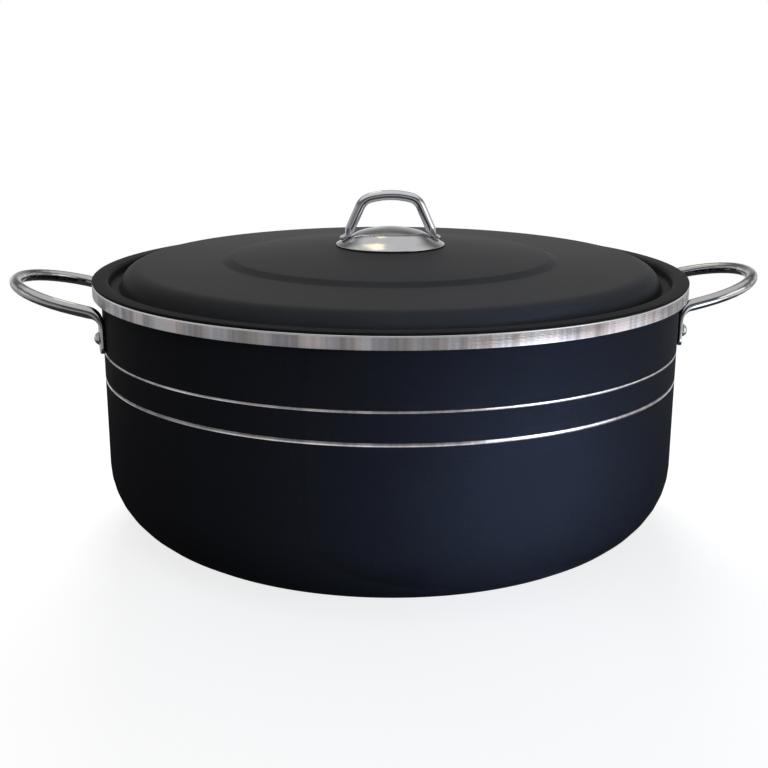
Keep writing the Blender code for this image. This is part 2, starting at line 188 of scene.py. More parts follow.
# Camera, set from the photograph
CAMERA_AZIMUTH = math.radians(-4.4)
CAMERA_PITCH = math.radians(15.04)
CAMERA_ROLL = math.radians(0.15)
CAMERA_DISTANCE = 0.850
CAMERA_ASIDE = -0.0041
CAMERA_AIM_HEIGHT = 0.0900
LENS = 56.52
SENSOR = 36.0
CLIP_START = 0.05


# Sections and paths, worked out as the maker's drawing gives them


def ball_radius(edge_radius, rise):
    """Radius of the ball that a round cap of this edge radius and rise is cut from."""
    return (edge_radius**2 + rise**2) / (2 * rise)


def cap_drop(radius, edge_radius, rise):
    """How far such a cap falls below its top at a radius."""
    ball = ball_radius(edge_radius, rise)
    return ball - math.sqrt(ball**2 - radius**2)


def crown_height(radius):
    return CROWN_TOP - cap_drop(radius, CROWN_EDGE_RADIUS, CROWN_RISE)


KNOB_SEAT = crown_height(KNOB_RADIUS - KNOB_SHEET) + SEAT_GAP
KNOB_TOP = KNOB_SEAT + KNOB_HEIGHT


def knob_height(radius):
    return KNOB_TOP - cap_drop(radius, KNOB_RADIUS, KNOB_HEIGHT - KNOB_EDGE_HEIGHT)


def rounded_path(corners):
    """Points through corners, each (point, fillet radius), and which corner each point comes from."""
    points = []
    origins = []
    for index, (corner, radius) in enumerate(corners):
        corner = Vector(corner)
        if not radius:
            points.append(corner)
            origins.append(index)
            continue
        before = (Vector(corners[index - 1][0]) - corner).normalized()
        after = (Vector(corners[index + 1][0]) - corner).normalized()
        turn = math.pi - before.angle(after)
        centre = corner + (before + after).normalized() * radius / math.cos(turn / 2)
        start = corner + before * radius * math.tan(turn / 2) - centre
        end = corner + after * radius * math.tan(turn / 2) - centre
        steps = max(2, math.ceil(turn / FILLET_STEP))
        for step in range(steps + 1):
            share = step / steps
            weights = math.sin((1 - share) * turn), math.sin(share * turn)
            points.append(centre + (start * weights[0] + end * weights[1]) / math.sin(turn))
            origins.append(index)
    return points, origins


def rounded_outline(corners):
    """A turned piece's outline of (radius, height, finish) from corners of (point, fillet radius, finish)."""
    points, origins = rounded_path([corner[:2] for corner in corners])
    return [(point.x, point.y, corners[origin][2]) for point, origin in zip(points, origins)]


def groove(middle, along, inward, width, depth, finish):
    """Four sharp corners of a groove with sloping sides, cut inward across an outline that runs along."""
    middle, along, inward = Vector(middle), Vector(along), Vector(inward)
    half = along * width / 2
    floor_half = half * GROOVE_FLOOR_SHARE
    places = (
        middle - half,
        middle - floor_half + inward * depth,
        middle + floor_half + inward * depth,
        middle + half,
    )
    return [(tuple(place), 0, finish) for place in places]


def pot_outline():
    """Inside of the base, up the inner wall, over the bare collar, down the outer wall and under the base."""
    band_bottom = POT_HEIGHT - RIM_BAND_HEIGHT
    corners = [
        ((0, BASE_THICKNESS), 0, COATED),
        ((INNER_RADIUS, BASE_THICKNESS), CORNER_RADIUS - WALL, COATED),
        ((INNER_RADIUS, POT_HEIGHT), RIM_EDGE_RADIUS, BARE),
        ((RIM_RADIUS, POT_HEIGHT), RIM_EDGE_RADIUS, BARE),
        ((RIM_RADIUS, band_bottom), RIM_LOWER_EDGE_RADIUS, BARE),
        ((WALL_RADIUS, band_bottom), RIM_UNDER_FILLET, COATED),
    ]
    for drop, width in zip(STRIPE_DROPS, STRIPE_WIDTHS):
        corners += groove((WALL_RADIUS, POT_HEIGHT - drop), (0, -1), (-1, 0), width, STRIPE_DEPTH, STRIPE)
        corners.append(((WALL_RADIUS, POT_HEIGHT - drop - 2 * width), 0, COATED))
    corners.append(((WALL_RADIUS, 0), CORNER_RADIUS, COATED))
    flat_radius = WALL_RADIUS - CORNER_RADIUS
    for share in sorted(BASE_RING_SHARES, reverse=True):
        middle = (flat_radius * share, 0)
        corners += groove(middle, (-1, 0), (0, 1), BASE_RING_WIDTH, BASE_RING_DEPTH, COATED)
    corners.append(((0, 0), 0, COATED))
    return rounded_outline(corners)


def sheet_outline(upper, thickness):
    """The outline round a sheet: its upper face outward, a rounded edge, and its lower face back."""
    points = [Vector(point) for point in upper]
    lower = []
    for index, point in enumerate(points):
        before = points[max(index - 1, 0)]
        after = points[min(index + 1, len(points) - 1)]
        along = (after - before).normalized()
        lower.append(point - Vector((-along.y, along.x)) * thickness)
    along = (points[-1] - points[-2]).normalized()
    across = Vector((-along.y, along.x))
    edge_middle = points[-1] - along * thickness / 2 - across * thickness / 2
    edge = []
    for step in range(1, SHEET_EDGE_STEPS):
        angle = math.pi * (0.5 - step / SHEET_EDGE_STEPS)
        edge.append(edge_middle + (along * math.cos(angle) + across * math.sin(angle)) * thickness / 2)
    points[-1] = points[-1] - along * thickness / 2
    lower[-1] = lower[-1] - along * thickness / 2
    outline = points + edge + lower[::-1]
    return [(max(point.x, 0), point.y, COATED) for point in outline]


def lid_outline():
    """The lid's sheet from the screw hole over crown, step, dome and trough to the flange, and back under."""
    shares = [step / CROWN_STEPS for step in range(CROWN_STEPS)]
    radii = [SCREW_HOLE_RADIUS + (CROWN_EDGE_RADIUS - SCREW_HOLE_RADIUS) * share for share in shares]
    corners = [((radius, crown_height(radius)), 0) for radius in radii]
    corners += [
        ((CROWN_EDGE_RADIUS, crown_height(CROWN_EDGE_RADIUS)), STEP_FILLET),
        ((STEP_RADIUS + STEP_RUN / 2, ANNULUS_TOP), STEP_FILLET),
        ((DOME_ROOT_RADIUS - DOME_WALL_RUN, DOME_SHOULDER), DOME_SHOULDER_FILLET),
        ((DOME_ROOT_RADIUS, TROUGH_FLOOR), TROUGH_FILLET),
        ((TROUGH_RADIUS - TROUGH_DRAFT, TROUGH_FLOOR), TROUGH_FILLET),
        ((TROUGH_RADIUS, FLANGE_TOP), FLANGE_FILLET),
        ((RIM_RADIUS, FLANGE_TOP), 0),
    ]
    outline = sheet_outline(rounded_path(corners)[0], LID_SHEET)
    return outline + outline[:1]


def knob_face(radius):
    """The dome's upper face, fuller inside the handle's feet than a plain cap."""
    share = (KNOB_PLAIN_RADIUS - radius) / (KNOB_PLAIN_RADIUS - KNOB_FULL_RADIUS)
    share = min(max(share, 0), 1)
    return knob_height(radius) + KNOB_FULLNESS * share**2 * (3 - 2 * share)


def knob_outline():
    """The knob base's sheet, from its top down to its upright edge and back under."""
    radii = [KNOB_RADIUS * step / KNOB_STEPS for step in range(KNOB_STEPS)]
    corners = [((radius, knob_face(radius)), 0) for radius in radii]
    corners += [
        ((KNOB_RADIUS, knob_height(KNOB_RADIUS)), KNOB_EDGE_HEIGHT / 2),
        ((KNOB_RADIUS, KNOB_SEAT), 0),
    ]
    return sheet_outline(rounded_path(corners)[0], KNOB_SHEET)


def rivet_outline():
    """A rivet along Z, with 0 at the wall's outer face, the domed head outside and the shop head inside."""
    head_seat = SEAT_GAP + TAB_THICKNESS + SEAT_GAP
    shop_seat = -WALL - SEAT_GAP
    outline = []
    for step in range(RIVET_HEAD_STEPS):
        radius = RIVET_HEAD_RADIUS * step / RIVET_HEAD_STEPS
        drop = cap_drop(radius, RIVET_HEAD_RADIUS, RIVET_HEAD_HEIGHT)
        outline.append((radius, head_seat + RIVET_HEAD_HEIGHT - drop, COATED))
    corners = [
        ((RIVET_HEAD_RADIUS, head_seat + RIVET_HEAD_FILLET), 0, COATED),
        ((RIVET_HEAD_RADIUS, head_seat), RIVET_HEAD_FILLET / 2, COATED),
        ((RIVET_SHANK_RADIUS, head_seat), 0, COATED),
        ((RIVET_SHANK_RADIUS, shop_seat), 0, COATED),
        ((RIVET_SHOP_RADIUS, shop_seat), RIVET_SHOP_FILLET / 2, COATED),
        ((RIVET_SHOP_RADIUS, shop_seat - RIVET_SHOP_HEIGHT), RIVET_SHOP_FILLET, COATED),
        ((0, shop_seat - RIVET_SHOP_HEIGHT), 0, COATED),
    ]
    return outline + rounded_outline(corners)


def screw_outline():
    """The lid screw along Z: its end in the nut, the plain shank, and the pan head under the washer."""
    washer_top = crown_height(WASHER_RADIUS) - LID_SHEET - SEAT_GAP
    head_top = washer_top - WASHER_THICKNESS - SEAT_GAP
    head_bottom = head_top - SCREW_HEAD_HEIGHT
    nut_corner_radius = NUT_ACROSS_FLATS / 2 / math.cos(math.pi / 6)
    end = knob_height(nut_corner_radius) - KNOB_SHEET - SEAT_GAP
    corners = [
        ((0, end), 0, COATED),
        ((SCREW_RADIUS, end), SCREW_END_FILLET, COATED),
        ((SCREW_RADIUS, head_top), 0, COATED),
        ((SCREW_HEAD_RADIUS, head_top), SCREW_HEAD_EDGE_RADIUS, COATED),
        ((SCREW_HEAD_RADIUS, head_bottom), SCREW_HEAD_FILLET, COATED),
        ((0, head_bottom), 0, COATED),
    ]
    return rounded_outline(corners), head_bottom


def washer_outline():
    top = crown_height(WASHER_RADIUS) - LID_SHEET - SEAT_GAP
    bottom = top - WASHER_THICKNESS
    corners = [
        ((SCREW_HOLE_RADIUS, (top + bottom) / 2), 0, COATED),
        ((SCREW_HOLE_RADIUS, top), WASHER_EDGE_RADIUS, COATED),
        ((WASHER_RADIUS, top), WASHER_EDGE_RADIUS, COATED),
        ((WASHER_RADIUS, bottom), WASHER_EDGE_RADIUS, COATED),
        ((SCREW_HOLE_RADIUS, bottom), WASHER_EDGE_RADIUS, COATED),
        ((SCREW_HOLE_RADIUS, (top + bottom) / 2), 0, COATED),
    ]
    return rounded_outline(corners)


def wall_angle():
    """How far round the wall each leg of a side handle stands from the handle's middle."""
    return math.asin(HANDLE_SPREAD / 2 / (WALL_RADIUS + SEAT_GAP + TAB_THICKNESS / 2))


def side_handle_path():
    """Half the right handle's centre line, from its +Y tab's lower end, and which way the tab is thin."""
    angle = wall_angle()
    tab_radius = WALL_RADIUS + SEAT_GAP + TAB_THICKNESS / 2
    tab_x = tab_radius * math.cos(angle)
    leg_y = HANDLE_SPREAD / 2
    tip_x = RIM_RADIUS + HANDLE_REACH
    tip_z = POT_HEIGHT - HANDLE_TIP_DROP
    corners = [
        ((tab_x, leg_y, POT_HEIGHT - TAB_END_DROP), 0),
        ((tab_x, leg_y, POT_HEIGHT - HANDLE_ROOT_DROP), HANDLE_BEND),
        ((tip_x, leg_y, tip_z), HANDLE_CORNER),
        ((tip_x, 0, tip_z), 0),
    ]
    return rounded_path(corners)[0], (-math.cos(angle), -math.sin(angle), 0)


def lid_handle_path():
    """Half the lid handle's centre line, from its +X foot's end, and which way the foot is thin."""
    foot_radius = LID_FOOT_SPREAD / 2
    foot_slope = math.asin(foot_radius / ball_radius(KNOB_RADIUS, KNOB_HEIGHT - KNOB_EDGE_HEIGHT))
    outward = Vector((math.cos(foot_slope), 0, -math.sin(foot_slope)))
    lifted = Vector((math.sin(foot_slope), 0, math.cos(foot_slope)))
    foot_middle = Vector((foot_radius, 0, knob_height(foot_radius)))
    foot_middle += lifted * (SEAT_GAP + FOOT_THICKNESS / 2)
    heel = foot_middle - outward * FOOT_LENGTH / 2
    top = KNOB_TOP + LID_HANDLE_RISE - LID_ROD_DIAMETER / 2
    slope, lean = math.tan(LID_BAR_SLOPE), math.tan(LID_LEG_LEAN)
    arch_x = LID_BAR_FLAT / 2 + LID_BAR_ARCH_RADIUS * math.tan(LID_BAR_SLOPE / 2)
    corner_x = (heel.x - (top + arch_x * slope - heel.z) * lean) / (1 - slope * lean)
    corners = [
        (foot_middle + outward * FOOT_LENGTH / 2, 0),
        (heel, FOOT_BEND),
        ((corner_x, 0, top - (corner_x - arch_x) * slope), LID_HANDLE_CORNER),
        ((arch_x, 0, top), LID_BAR_ARCH_RADIUS),
        ((0, 0, top), 0),
    ]
    return rounded_path(corners)[0], lifted


def fine_path(points):
    """The same path with no stretch longer than a path step."""
    fine = [points[0]]
    for start, end in zip(points, points[1:]):
        count = max(1, math.ceil((end - start).length / PATH_STEP))
        fine += [start.lerp(end, share / count) for share in range(1, count + 1)]
    return fine


def carried_ways(points, start):
    """The thin way of a rod's section at each point, turned along the path as little as it can be."""
    ways = []
    carried = Vector(start)
    for index in range(len(points)):
        before = points[max(index - 1, 0)]
        after = points[min(index + 1, len(points) - 1)]
        along = (after - before).normalized()
        carried = (carried - along * carried.dot(along)).normalized()
        ways.append(carried.copy())
    return ways


# Geometry Nodes: one tree for turned pieces, one for drawn rods, one for what is set in rows


def node(tree, kind, values=None, **settings):
    """A node with its settings made, and each value linked or set on the socket of that name or number."""
    made = tree.nodes.new(kind)
    for setting, value in settings.items():
        setattr(made, setting, value)
    for key, value in (values or {}).items():
        if isinstance(key, int):
            socket = made.inputs[key]
        else:
            socket = next(entry for entry in made.inputs if entry.name == key and entry.enabled)
        if isinstance(value, bpy.types.NodeSocket):
            tree.links.new(value, socket)
        else:
            socket.default_value = value
    return made


def math_node(tree, operation, *values):
    return node(tree, "ShaderNodeMath", dict(enumerate(values)), operation=operation).outputs[0]


def plus(tree, first, second):
    return math_node(tree, "ADD", first, second)


def minus(tree, first, second):
    return math_node(tree, "SUBTRACT", first, second)


def times(tree, first, second):
    return math_node(tree, "MULTIPLY", first, second)


def over(tree, first, second):
    return math_node(tree, "DIVIDE", first, second)


def larger(tree, first, second):
    return math_node(tree, "MAXIMUM", first, second)


def vector_node(tree, operation, *values):
    made = node(tree, "ShaderNodeVectorMath", dict(enumerate(values)), operation=operation)
    return made.outputs["Value" if operation in ("DOT_PRODUCT", "LENGTH", "DISTANCE") else "Vector"]


def stretched(tree, vector, factor):
    made = node(tree, "ShaderNodeVectorMath", {0: vector, "Scale": factor}, operation="SCALE")
    return made.outputs["Vector"]


def flattened(tree, vector):
    """The vector without its height."""
    return vector_node(tree, "MULTIPLY", vector, (1, 1, 0))


def separated(tree, vector):
    return node(tree, "ShaderNodeSeparateXYZ", {0: vector}).outputs


def combined(tree, **parts):
    return node(tree, "ShaderNodeCombineXYZ", parts).outputs[0]


def blended(tree, share, low, high):
    """A number that goes from low to high as share goes from 0 to 1."""
    return plus(tree, low, times(tree, share, minus(tree, high, low)))


def new_tree(name, inputs):
    """A Geometry Nodes tree with a geometry input, these named inputs and a geometry output."""
    tree = bpy.data.node_groups.new(name, "GeometryNodeTree")
    tree.interface.new_socket("Geometry", in_out="INPUT", socket_type="NodeSocketGeometry")
    for label, kind in inputs:
        tree.interface.new_socket(label, in_out="INPUT", socket_type="NodeSocket" + kind)
    tree.interface.new_socket("Geometry", in_out="OUTPUT", socket_type="NodeSocketGeometry")
    return tree, tree.nodes.new("NodeGroupInput").outputs


def named_value(tree, name, data_type):
    made = node(tree, "GeometryNodeInputNamedAttribute", {"Name": name}, data_type=data_type)
    return made.outputs["Attribute"]


def point_value(tree, geometry, value, index, data_type):
    """What a value is at the geometry's point of this index."""
    values = {"Geometry": geometry, "Value": value, "Index": index}
    return node(tree, "GeometryNodeSampleIndex", values, data_type=data_type, domain="POINT").outputs[0]


def smooth_and_merge(tree, geometry):
    merged = node(tree, "GeometryNodeMergeByDistance", {"Geometry": geometry, "Distance": MERGE_DISTANCE})
    return node(tree, "GeometryNodeSetShadeSmooth", {"Geometry": merged.outputs[0]}).outputs[0]


def realised(tree, geometry, finish):
    """The geometry with its copies made real, in one finish."""
    mesh = node(tree, "GeometryNodeRealizeInstances", {"Geometry": geometry}).outputs[0]
    return node(tree, "GeometryNodeSetMaterial", {"Geometry": mesh, "Material": finish}).outputs[0]


def grid_shares(tree, columns, rows):
    """A grid, and how far each of its points is along and round, from 0 to 1."""
    values = {"Size X": 1.0, "Size Y": 1.0, "Vertices X": columns, "Vertices Y": rows}
    grid = node(tree, "GeometryNodeMeshGrid", values).outputs["Mesh"]
    place = separated(tree, node(tree, "GeometryNodeInputPosition").outputs[0])
    return grid, plus(tree, place["X"], 0.5), plus(tree, place["Y"], 0.5)


def turned_tree():
    """Turns an outline round Z. Faces take the bare or the stripe finish where the outline is so marked."""
    finishes = [("Main finish", "Material"), ("Bare finish", "Material"), ("Stripe finish", "Material")]
    tree, given = new_tree("turned_piece", [("Steps around", "Int")] + finishes)
    outline = given["Geometry"]
    size = node(tree, "GeometryNodeAttributeDomainSize", {"Geometry": outline}, component="MESH")
    count = size.outputs["Point Count"]
    grid, along, around = grid_shares(tree, count, plus(tree, given["Steps around"], 1))
    index = math_node(tree, "ROUND", times(tree, along, minus(tree, count, 1)))
    place = node(tree, "GeometryNodeInputPosition").outputs[0]
    section = separated(tree, point_value(tree, outline, place, index, "FLOAT_VECTOR"))
    mark = point_value(tree, outline, named_value(tree, "mark", "FLOAT"), index, "FLOAT")
    values = {"Geometry": grid, "Name": "finish_mark", "Value": mark}
    settings = {"data_type": "FLOAT", "domain": "POINT"}
    marked = node(tree, "GeometryNodeStoreNamedAttribute", values, **settings).outputs[0]
    angle = times(tree, around, math.tau)
    turned_place = combined(
        tree,
        X=times(tree, section["X"], math_node(tree, "COSINE", angle)),
        Y=times(tree, section["X"], math_node(tree, "SINE", angle)),
        Z=section["Z"],
    )
    placed = node(tree, "GeometryNodeSetPosition", {"Geometry": marked, "Position": turned_place}).outputs[0]
    mesh = realised(tree, smooth_and_merge(tree, placed), given["Main finish"])
    marks = (("GREATER_THAN", BARE, "Bare finish"), ("LESS_THAN", STRIPE, "Stripe finish"))
    for test, full_mark, finish in marks:
        chosen = math_node(tree, test, named_value(tree, "finish_mark", "FLOAT"), full_mark * MARK_SHARE)
        values = {"Geometry": mesh, "Selection": chosen, "Material": given[finish]}
        mesh = node(tree, "GeometryNodeSetMaterial", values).outputs[0]
    node(tree, "NodeGroupOutput", {"Geometry": mesh})
    return tree


ROD_INPUTS = [
    ("Rod radius", "Float"),
    ("Tab width", "Float"),
    ("Tab thickness", "Float"),
    ("Tab length", "Float"),
    ("Forged length", "Float"),
    ("End radius", "Float"),
    ("Edge radius", "Float"),
    ("Steps along", "Int"),
    ("Sides", "Int"),
    ("Finish", "Material"),
]


def end_rounding(tree, from_end, radius):
    """How much a tab's half width falls back this far from its end, for a rounded corner of that radius."""
    left = larger(tree, minus(tree, 1, over(tree, from_end, radius)), 0)
    arc = math_node(tree, "SQRT", minus(tree, 1, times(tree, left, left)))
    return times(tree, radius, minus(tree, 1, arc))


def rounded_power(tree, wave, power, half_size):
    """One side of a section that goes from round, at a power of 2, to flat with rounded corners."""
    size = math_node(tree, "POWER", math_node(tree, "ABSOLUTE", wave), over(tree, ROUND_POWER, power))
    return times(tree, times(tree, math_node(tree, "SIGN", wave), size), half_size)


def drawn_rod_tree():
    """Draws a rod along a path and forges both ends flat into tabs, which lie as the path's thin_way says."""
    tree, given = new_tree("drawn_rod", ROD_INPUTS)
    curve = node(tree, "GeometryNodeMeshToCurve", {0: given["Geometry"]}).outputs[0]
    length = node(tree, "GeometryNodeCurveLength", {0: curve}).outputs[0]
    grid, along, around = grid_shares(tree, given["Steps along"], plus(tree, given["Sides"], 1))

    # Distance from the nearer end, with short steps by the end; the first ring of all closes to a point
    from_middle = math_node(tree, "ABSOLUTE", minus(tree, times(tree, along, 2), 1))
    one_step = over(tree, 2, minus(tree, given["Steps along"], 1))
    share = over(tree, minus(tree, minus(tree, 1, from_middle), one_step), minus(tree, 1, one_step))
    share = math_node(tree, "POWER", larger(tree, share, 0), END_CROWDING)
    from_end = times(tree, share, over(tree, length, 2))
    open_ring = math_node(tree, "LESS_THAN", from_middle, minus(tree, 1, over(tree, one_step, 2)))
    second_half = math_node(tree, "GREATER_THAN", along, 0.5)
    distance = blended(tree, second_half, from_end, minus(tree, length, from_end))

    # Where the centre line is at that distance, and which ways the section is thin and wide there
    values = {"Curves": curve, "Value": named_value(tree, "thin_way", "FLOAT_VECTOR"), "Length": distance}
    settings = {"data_type": "FLOAT_VECTOR", "mode": "LENGTH", "use_all_curves": True}
    sampled = node(tree, "GeometryNodeSampleCurve", values, **settings).outputs
    tangent = vector_node(tree, "NORMALIZE", sampled["Tangent"])
    way = next(entry for entry in sampled if entry.name == "Value" and entry.enabled)
    along_part = stretched(tree, tangent, vector_node(tree, "DOT_PRODUCT", way, tangent))
    thin_way = vector_node(tree, "NORMALIZE", vector_node(tree, "SUBTRACT", way, along_part))
    wide_way = vector_node(tree, "CROSS_PRODUCT", thin_way, tangent)

    # The section: round rod, forged flat and wide towards the end
    values = {
        "Value": from_end,
        "From Min": given["Tab length"],
        "From Max": plus(tree, given["Tab length"], given["Forged length"]),
        "To Min": 1.0,
        "To Max": 0.0,
    }
    forged = node(tree, "ShaderNodeMapRange", values, interpolation_type="SMOOTHSTEP").outputs[0]
    power = blended(tree, forged, ROUND_POWER, FLAT_POWER)
    angle = times(tree, around, math.tau)
    reaches = []
    for way, wave, size, corner in (
        (wide_way, "COSINE", "Tab width", "End radius"),
        (thin_way, "SINE", "Tab thickness", "Edge radius"),
    ):
        half = blended(tree, forged, given["Rod radius"], over(tree, given[size], 2))
        half = minus(tree, half, end_rounding(tree, from_end, given[corner]))
        reach = rounded_power(tree, math_node(tree, wave, angle), power, half)
        reaches.append(stretched(tree, way, times(tree, reach, open_ring)))
    place = vector_node(tree, "ADD", sampled["Position"], vector_node(tree, "ADD", *reaches))
    placed = node(tree, "GeometryNodeSetPosition", {"Geometry": grid, "Position": place}).outputs[0]
    mesh = smooth_and_merge(tree, node(tree, "GeometryNodeFlipFaces", {"Mesh": placed}).outputs[0])
    node(tree, "NodeGroupOutput", {"Geometry": realised(tree, mesh, given["Finish"])})
    return tree


def set_pieces_tree():
    """Sets a copy of one small piece at every point, with its top turned the way the point's outward says."""
    tree, given = new_tree("set_pieces", [("Piece", "Object"), ("Finish", "Material")])
    piece = node(tree, "GeometryNodeObjectInfo", {"Object": given["Piece"]}, transform_space="ORIGINAL")
    outward = named_value(tree, "outward", "FLOAT_VECTOR")
    rotation = node(tree, "FunctionNodeAlignRotationToVector", {"Vector": outward}, axis="Z").outputs[0]
    values = {"Points": given["Geometry"], "Instance": piece.outputs["Geometry"], "Rotation": rotation}
    placed = node(tree, "GeometryNodeInstanceOnPoints", values).outputs[0]
    node(tree, "NodeGroupOutput", {"Geometry": realised(tree, placed, given["Finish"])})
    return tree


def cross_recess_tree():
    """Cuts a cross recess for the driver up into a screw's head."""
    sizes = [("Arm width", "Float"), ("Arm length", "Float"), ("Depth", "Float"), ("Head height", "Float")]
    tree, given = new_tree("cross_recess", sizes + [("Finish", "Material")])
    size = combined(tree, X=given["Arm length"], Y=given["Arm width"], Z=times(tree, given["Depth"], 2))
    arm = node(tree, "GeometryNodeMeshCube", {"Size": size}).outputs["Mesh"]
    place = combined(tree, Z=given["Head height"])
    both = tree.nodes.new("GeometryNodeJoinGeometry")
    for turn in (0, math.pi / 2):
        values = {"Geometry": arm, "Translation": place, "Rotation": (0, 0, turn)}
        tree.links.new(node(tree, "GeometryNodeTransform", values).outputs[0], both.inputs[0])
    values = {0: given["Geometry"], 1: both.outputs[0], "Self Intersection": True}
    mesh = node(tree, "GeometryNodeMeshBoolean", values, operation="DIFFERENCE", solver="EXACT").outputs[0]
    node(tree, "NodeGroupOutput", {"Geometry": realised(tree, mesh, given["Finish"])})
    return tree


def apply_tree(piece, tree, inputs):
    """Runs a tree on a piece with these named inputs, and keeps its result as a plain mesh."""
    modifier = piece.modifiers.new(tree.name, "NODES")
    modifier.node_group = tree
    for item in tree.interface.items_tree:
        if item.in_out == "INPUT" and item.name in inputs:
            modifier[item.identifier] = inputs[item.name]
    evaluated = piece.evaluated_get(bpy.context.evaluated_depsgraph_get())
    mesh = bpy.data.meshes.new_from_object(evaluated)
    piece.modifiers.clear()
    piece.data = mesh
    mesh.name = piece.name
    mesh.set_sharp_from_angle(angle=SHARP_ANGLE)
    for name in ("finish_mark", "outward", "thin_way"):
        if name in mesh.attributes:
            mesh.attributes.remove(mesh.attributes[name])
    return piece


def line_piece(name, points, joined=True):
    """An object whose mesh is only points, each joined to the next unless joined is false."""
    mesh = bpy.data.meshes.new(name)
    edges = [(index, index + 1) for index in range(len(points) - 1)] if joined else []
    mesh.from_pydata([tuple(point) for point in points], edges, [])
    piece = bpy.data.objects.new(name, mesh)
    bpy.context.scene.collection.objects.link(piece)
    return piece


def mark_points(piece, name, kind, values):
    attribute = piece.data.attributes.new(name, kind, "POINT")
    if kind == "FLOAT_VECTOR":
        attribute.data.foreach_set("vector", [number for value in values for number in value])
    else:
        attribute.data.foreach_set("value", values)


def turned(name, outline, steps, main_finish, bare_finish=None, stripe_finish=None):
    """A piece turned from an outline of (radius, height, mark)."""
    piece = line_piece(name, [(radius, 0, height) for radius, height, mark in outline])
    mark_points(piece, "mark", "FLOAT", [mark for radius, height, mark in outline])
    inputs = {
        "Steps around": steps,
        "Main finish": main_finish,
        "Bare finish": bare_finish or main_finish,
        "Stripe finish": stripe_finish or main_finish,
    }
    return apply_tree(piece, TURNED, inputs)


def rod_inputs(diameter, tab_sizes, forged_length, end_radius, finish):
    """What the rod tree is given for a rod whose tabs have this (width, thickness, flat length)."""
    return {
        "Rod radius": diameter / 2 * ROUND_ROD_SHARE,
        "Tab width": tab_sizes[0],
        "Tab thickness": tab_sizes[1],
        "Tab length": tab_sizes[2],
        "Forged length": forged_length,
        "End radius": end_radius,
        "Edge radius": TAB_EDGE_RADIUS,
        "Steps along": HANDLE_STEPS,
        "Sides": ROD_SIDES,
        "Finish": finish,
    }


def drawn_rod(name, half_path, thin_way, mirrored, turn, inputs):
    """A whole rod from half its path, mirrored across the plane whose normal is the mirrored axis."""
    half = fine_path(half_path)
    ways = carried_ways(half, thin_way)
    flip = Matrix.Diagonal([-1 if letter == mirrored else 1 for letter in "XYZ"]).to_3x3()
    points = half + [flip @ point for point in half[-2::-1]]
    ways = ways + [flip @ way for way in ways[-2::-1]]
    spin = Matrix.Rotation(turn, 3, "Z")
    piece = line_piece(name, [spin @ point for point in points])
    mark_points(piece, "thin_way", "FLOAT_VECTOR", [spin @ way for way in ways])
    return apply_tree(piece, DRAWN_ROD, inputs)


def set_pieces(name, pattern, places, finish):
    """Copies of a pattern piece at places, each (point, outward), joined in one mesh."""
    piece = line_piece(name, [point for point, outward in places], joined=False)
    mark_points(piece, "outward", "FLOAT_VECTOR", [outward for point, outward in places])
    apply_tree(piece, SET_PIECES, {"Piece": pattern, "Finish": finish})
    bpy.data.objects.remove(pattern)
    return piece


# Finishes. A scale is in cells or waves to the metre, and a span is what part of its noise shows

BLACK = (0, 0, 0)
MID_SPAN = (0.3, 0.7)

# Stone-effect coating
COATING_IOR = 1.45
GRAIN_SCALE = 950.0
GRAIN_SPAN = (0.16, 0.30)
PALE_GRAIN_SPAN = (0.72, 0.98)
GRAIN_STRENGTH = 0.55
CLOUD_SPAN = (0.35, 0.70)
CLOUD_LIFT = 4
PEEL_GRAIN_RISE = 0.5

# Aluminium bared on the lathe. Its painted reflection adds up upright blocks of several sizes, darker and
# lighter streaks in the colour that stand in for the room mirrored in the band, each (scale, span, weight)
LATHE_LINE_SCALES = (3.0, 3.0, 3200.0)
LATHE_LINE_RISE = 0.3
LATHE_LINE_TONE = 0.84
PAINTED_REFLECTION_BLOCKS = ((4.0, (0.38, 0.62), 0.38), (10.0, (0.46, 0.54), 0.38), (44.0, (0.42, 0.68), 0.24))
FULL_PAINTED_REFLECTION = 0.78
TINT_BLOCKS = 11.0
TINT_SPAN = (0.4, 0.6)
WARM_TINT = (1.04, 0.98, 0.97)
COOL_TINT = (0.97, 0.98, 1.04)
# Painted highlight along the collar's upper edge: its colour, and the drops below the top between which it
# fades in
PAINTED_EDGE_HIGHLIGHT = (0.82, 0.82, 0.82)
PAINTED_EDGE_HIGHLIGHT_DROPS = (0.0013, 0.0009)

# Chrome
SMUDGE_SPAN = (0.4, 0.7)
SMUDGE_TONE = 0.93
SMUDGE_ROUGHNESS = 0.05
CHROME_GRAIN_RISE = 0.08


def new_finish(name, **constants):
    """A material with its shader's constants on the shader's own sockets."""
    material = bpy.data.materials.new(name)
    material.use_nodes = True
    shader = material.node_tree.nodes["Principled BSDF"]
    for label, value in constants.items():
        shader.inputs[label.replace("_", " ")].default_value = value
    return material, material.node_tree, shader


def link_looks(tree, shader, **looks):
    """Links what changes over the surface to the shader's sockets of these names."""
    for label, value in looks.items():
        tree.links.new(value, shader.inputs[label.replace("_", " ")])


def object_place(tree):
    return tree.nodes.new("ShaderNodeTexCoord").outputs["Object"]


def noise(tree, place, scale, detail=2.0, roughness=0.5):
    values = {"Vector": place, "Scale": scale, "Detail": detail, "Roughness": roughness}
    return node(tree, "ShaderNodeTexNoise", values).outputs[0]


def noise_round(tree, angle, scale, detail):
    """Noise that changes only with the angle round the axis. Its scale is in waves to the radian."""
    values = {"W": angle, "Scale": scale, "Detail": detail, "Roughness": 0.6}
    return node(tree, "ShaderNodeTexNoise", values, noise_dimensions="1D").outputs[0]


def ranged(tree, value, low, high, to_low=0.0, to_high=1.0):
    """The value brought from the span of low to high to that of to_low to to_high, and kept in it."""
    values = {"Value": value, "From Min": low, "From Max": high, "To Min": to_low, "To Max": to_high}
    return node(tree, "ShaderNodeMapRange", values, clamp=True).outputs[0]


